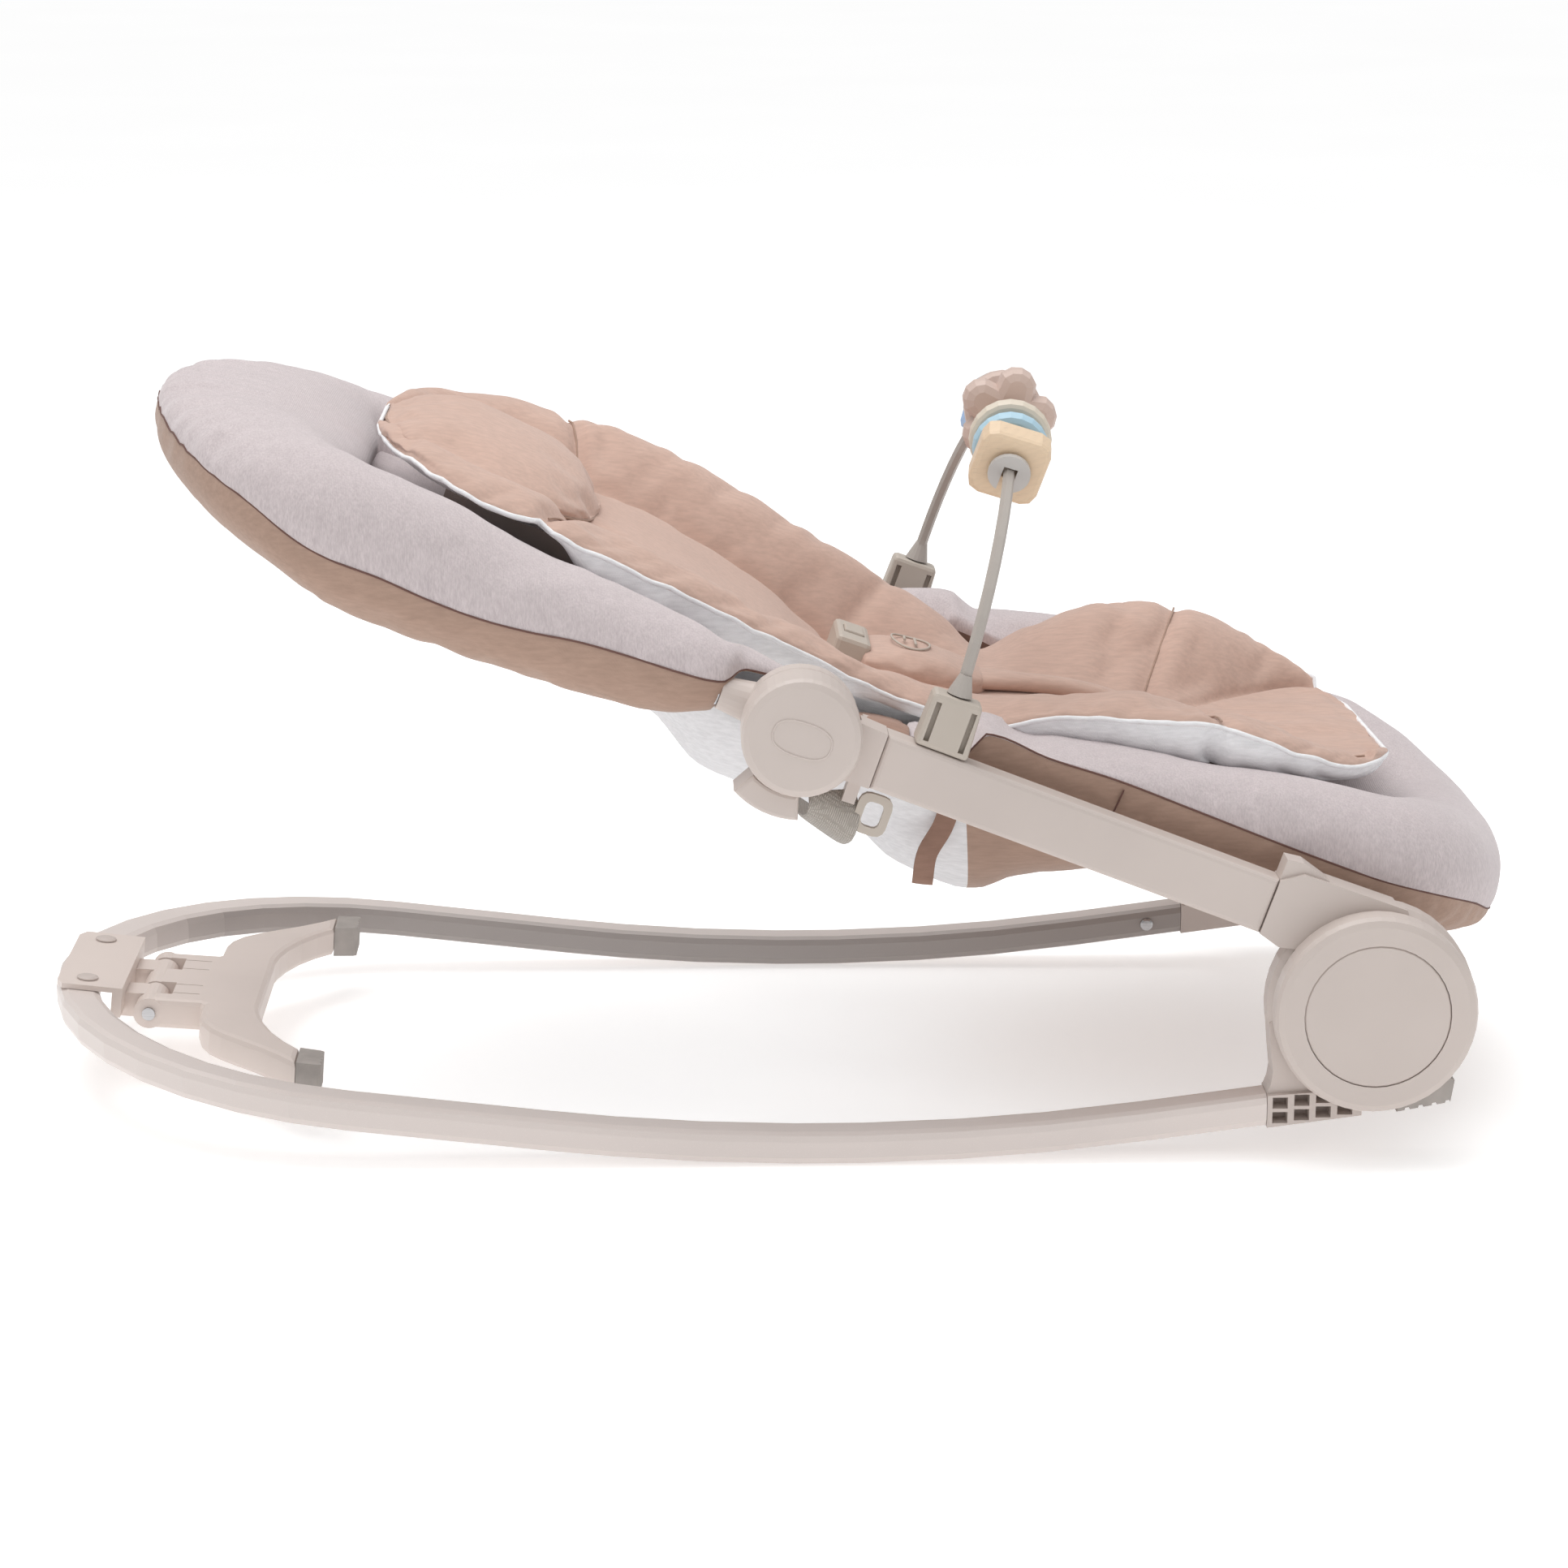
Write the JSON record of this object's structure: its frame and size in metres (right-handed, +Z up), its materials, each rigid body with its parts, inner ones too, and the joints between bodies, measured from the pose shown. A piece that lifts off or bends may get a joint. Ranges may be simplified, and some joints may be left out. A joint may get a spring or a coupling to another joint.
{
  "type": "baby bouncer seat",
  "caption": "reclining infant seat with padded rim and quilted liner on a bent-tube rocker base, with folding hub, drop-down stand and clip-on toy bar",
  "frame": {"origin": "centre of the bounding box in plan, on the floor under the rocker", "axes": "+Z up; +X towards the leg end; +Y across the seat, to the side that the seat's right-hand hubs are on"},
  "size_m": [0.8936, 0.4656, 0.4377],
  "materials": {
    "tube_paint": "satin greige paint",
    "frame_plastic": "satin moulded plastic",
    "grey_plastic": "satin",
    "grey_rubber": "matte",
    "steel": "plain steel",
    "melange_jersey": "melange jersey",
    "liner_fabric": "quilted liner",
    "white_fabric": "thin lining",
    "brown_fabric": "woven",
    "webbing": "woven webbing",
    "wood": "bare beech",
    "pale_blue": "satin",
    "mid_blue": "satin",
    "beige_plastic": "satin",
    "pink_plastic": "satin",
    "washer_grey": "satin"
  },
  "bodies": {
    "base": {"base_tube": "tube_paint", "bend_bracket": "frame_plastic", "kickstand_pin": "steel", "base_hub_left": "frame_plastic", "base_hub_right": "frame_plastic", "rear_foot_left": "grey_rubber", "rear_foot_right": "grey_rubber", "fold_axle_left": "steel", "fold_axle_right": "steel", "bracket_rivet_left": "frame_plastic", "bracket_rivet_right": "frame_plastic", "tube_screw_left": "steel", "tube_screw_right": "steel"},
    "kickstand": {"kickstand": "frame_plastic", "kickstand_foot_left": "grey_rubber", "kickstand_foot_right": "grey_rubber"},
    "seat_frame": {"leg_tube": "steel", "leg_bolster": "melange_jersey", "seat_sling": "white_fabric", "seat_liner": "liner_fabric", "crotch_pad": "liner_fabric", "crotch_strap": "liner_fabric", "buckle_body": "grey_plastic", "side_rail_left": "frame_plastic", "side_rail_right": "frame_plastic", "lower_housing_left": "frame_plastic", "lower_housing_right": "frame_plastic", "upper_housing_left": "frame_plastic", "upper_housing_right": "frame_plastic", "toy_socket_left": "frame_plastic", "toy_socket_right": "frame_plastic", "fold_spring_left": "steel", "fold_spring_right": "steel", "waist_strap_left": "brown_fabric", "waist_strap_right": "brown_fabric", "anchor_strap_left": "webbing", "anchor_strap_right": "webbing", "strap_slider_left": "grey_plastic", "strap_slider_right": "grey_plastic"},
    "backrest": {"back_tube": "steel", "head_bolster": "melange_jersey", "back_sling": "white_fabric", "back_liner": "liner_fabric", "back_hub_left": "frame_plastic", "back_hub_right": "frame_plastic"},
    "fold_button_left": {"fold_button_left": "frame_plastic"},
    "fold_button_right": {"fold_button_right": "frame_plastic"},
    "recline_lever_left": {"recline_lever_left": "frame_plastic"},
    "recline_lever_right": {"recline_lever_right": "frame_plastic"},
    "buckle_button": {"buckle_button": "grey_plastic"},
    "toy_bar": {"toy_rod": "grey_plastic", "toy_washer": "washer_grey"},
    "toy_wood_block": {"toy_wood_block": "wood"},
    "toy_pale_blue_ring": {"toy_pale_blue_ring": "pale_blue"},
    "toy_beige_ring": {"toy_beige_ring": "beige_plastic"},
    "toy_wood_barrel": {"toy_wood_barrel": "wood"},
    "toy_flower": {"toy_flower": "pink_plastic"},
    "toy_pink_ring": {"toy_pink_ring": "pink_plastic"},
    "toy_grey_ring": {"toy_grey_ring": "washer_grey"},
    "toy_blue_block": {"toy_blue_block": "mid_blue"}
  },
  "joints": [
    {"name": "kickstand_swing", "type": "hinge", "parent": "base", "child": "kickstand", "pos_m": [-0.3865, 0, 0.045], "axis": [0, 1, 0], "range_deg": [0, 90]},
    {"name": "seat_fold", "type": "hinge", "parent": "base", "child": "seat_frame", "pos_m": [0.3351, 0, 0.0931], "axis": [0, -1, 0], "range_deg": [0, 17]},
    {"name": "backrest_recline", "type": "hinge", "parent": "seat_frame", "child": "backrest", "pos_m": [0.0068, 0, 0.259], "axis": [0, 1, 0], "range_deg": [0, 45]},
    {"name": "fold_button_press_left", "type": "slide", "parent": "seat_frame", "child": "fold_button_left", "axis": [0, 1, 0], "range_m": [0, 0.005], "stiffness_N_per_m": 1500, "springref_m": -0.001, "deforming": ["fold_spring_left"]},
    {"name": "recline_lever_squeeze_left", "type": "hinge", "parent": "seat_frame", "child": "recline_lever_left", "pos_m": [0.0068, -0.206, 0.259], "axis": [0, 1, 0], "range_deg": [0, 15], "stiffness_Nm_per_rad": 0.6, "springref_deg": -5.73},
    {"name": "fold_button_press_right", "type": "slide", "parent": "seat_frame", "child": "fold_button_right", "axis": [0, -1, 0], "range_m": [0, 0.005], "stiffness_N_per_m": 1500, "springref_m": -0.001, "deforming": ["fold_spring_right"]},
    {"name": "recline_lever_squeeze_right", "type": "hinge", "parent": "seat_frame", "child": "recline_lever_right", "pos_m": [0.0068, 0.206, 0.259], "axis": [0, 1, 0], "range_deg": [0, 15], "stiffness_Nm_per_rad": 0.6, "springref_deg": -5.73},
    {"name": "buckle_button_press", "type": "slide", "parent": "seat_frame", "child": "buckle_button", "axis": [-0.3322, 0, -0.9432], "range_m": [0, 0.003], "stiffness_N_per_m": 800, "springref_m": -0.0005},
    {"name": "toy_bar_lift", "type": "slide", "parent": "seat_frame", "child": "toy_bar", "axis": [0.299, 0, 0.9542], "range_m": [0, 0.03]},
    {"name": "toy_wood_block_spin", "type": "hinge", "parent": "toy_bar", "child": "toy_wood_block", "pos_m": [0.1322, -0.092, 0.3902], "axis": [0.1011, 0.9412, 0.3225], "continuous": true},
    {"name": "toy_pale_blue_ring_spin", "type": "hinge", "parent": "toy_bar", "child": "toy_pale_blue_ring", "pos_m": [0.1339, -0.074, 0.39564], "axis": [0.0795, 0.964, 0.2537], "continuous": true},
    {"name": "toy_beige_ring_spin", "type": "hinge", "parent": "toy_bar", "child": "toy_beige_ring", "pos_m": [0.13487, -0.061, 0.39872], "axis": [0.0647, 0.9763, 0.2065], "continuous": true},
    {"name": "toy_wood_barrel_spin", "type": "hinge", "parent": "toy_bar", "child": "toy_wood_barrel", "pos_m": [0.136, -0.04, 0.40234], "axis": [0.0418, 0.9902, 0.1334], "continuous": true},
    {"name": "toy_flower_spin", "type": "hinge", "parent": "toy_bar", "child": "toy_flower", "pos_m": [0.13676, -0.012, 0.40477], "axis": [0.0124, 0.9991, 0.0396], "continuous": true},
    {"name": "toy_pink_ring_spin", "type": "hinge", "parent": "toy_bar", "child": "toy_pink_ring", "pos_m": [0.13672, 0.015, 0.40464], "axis": [-0.0155, 0.9987, -0.0495], "continuous": true},
    {"name": "toy_grey_ring_spin", "type": "hinge", "parent": "toy_bar", "child": "toy_grey_ring", "pos_m": [0.136, 0.04, 0.40234], "axis": [-0.0418, 0.9902, -0.1334], "continuous": true},
    {"name": "toy_blue_block_spin", "type": "hinge", "parent": "toy_bar", "child": "toy_blue_block", "pos_m": [0.13291, 0.085, 0.39249], "axis": [-0.0925, 0.951, -0.2952], "continuous": true}
  ]
}
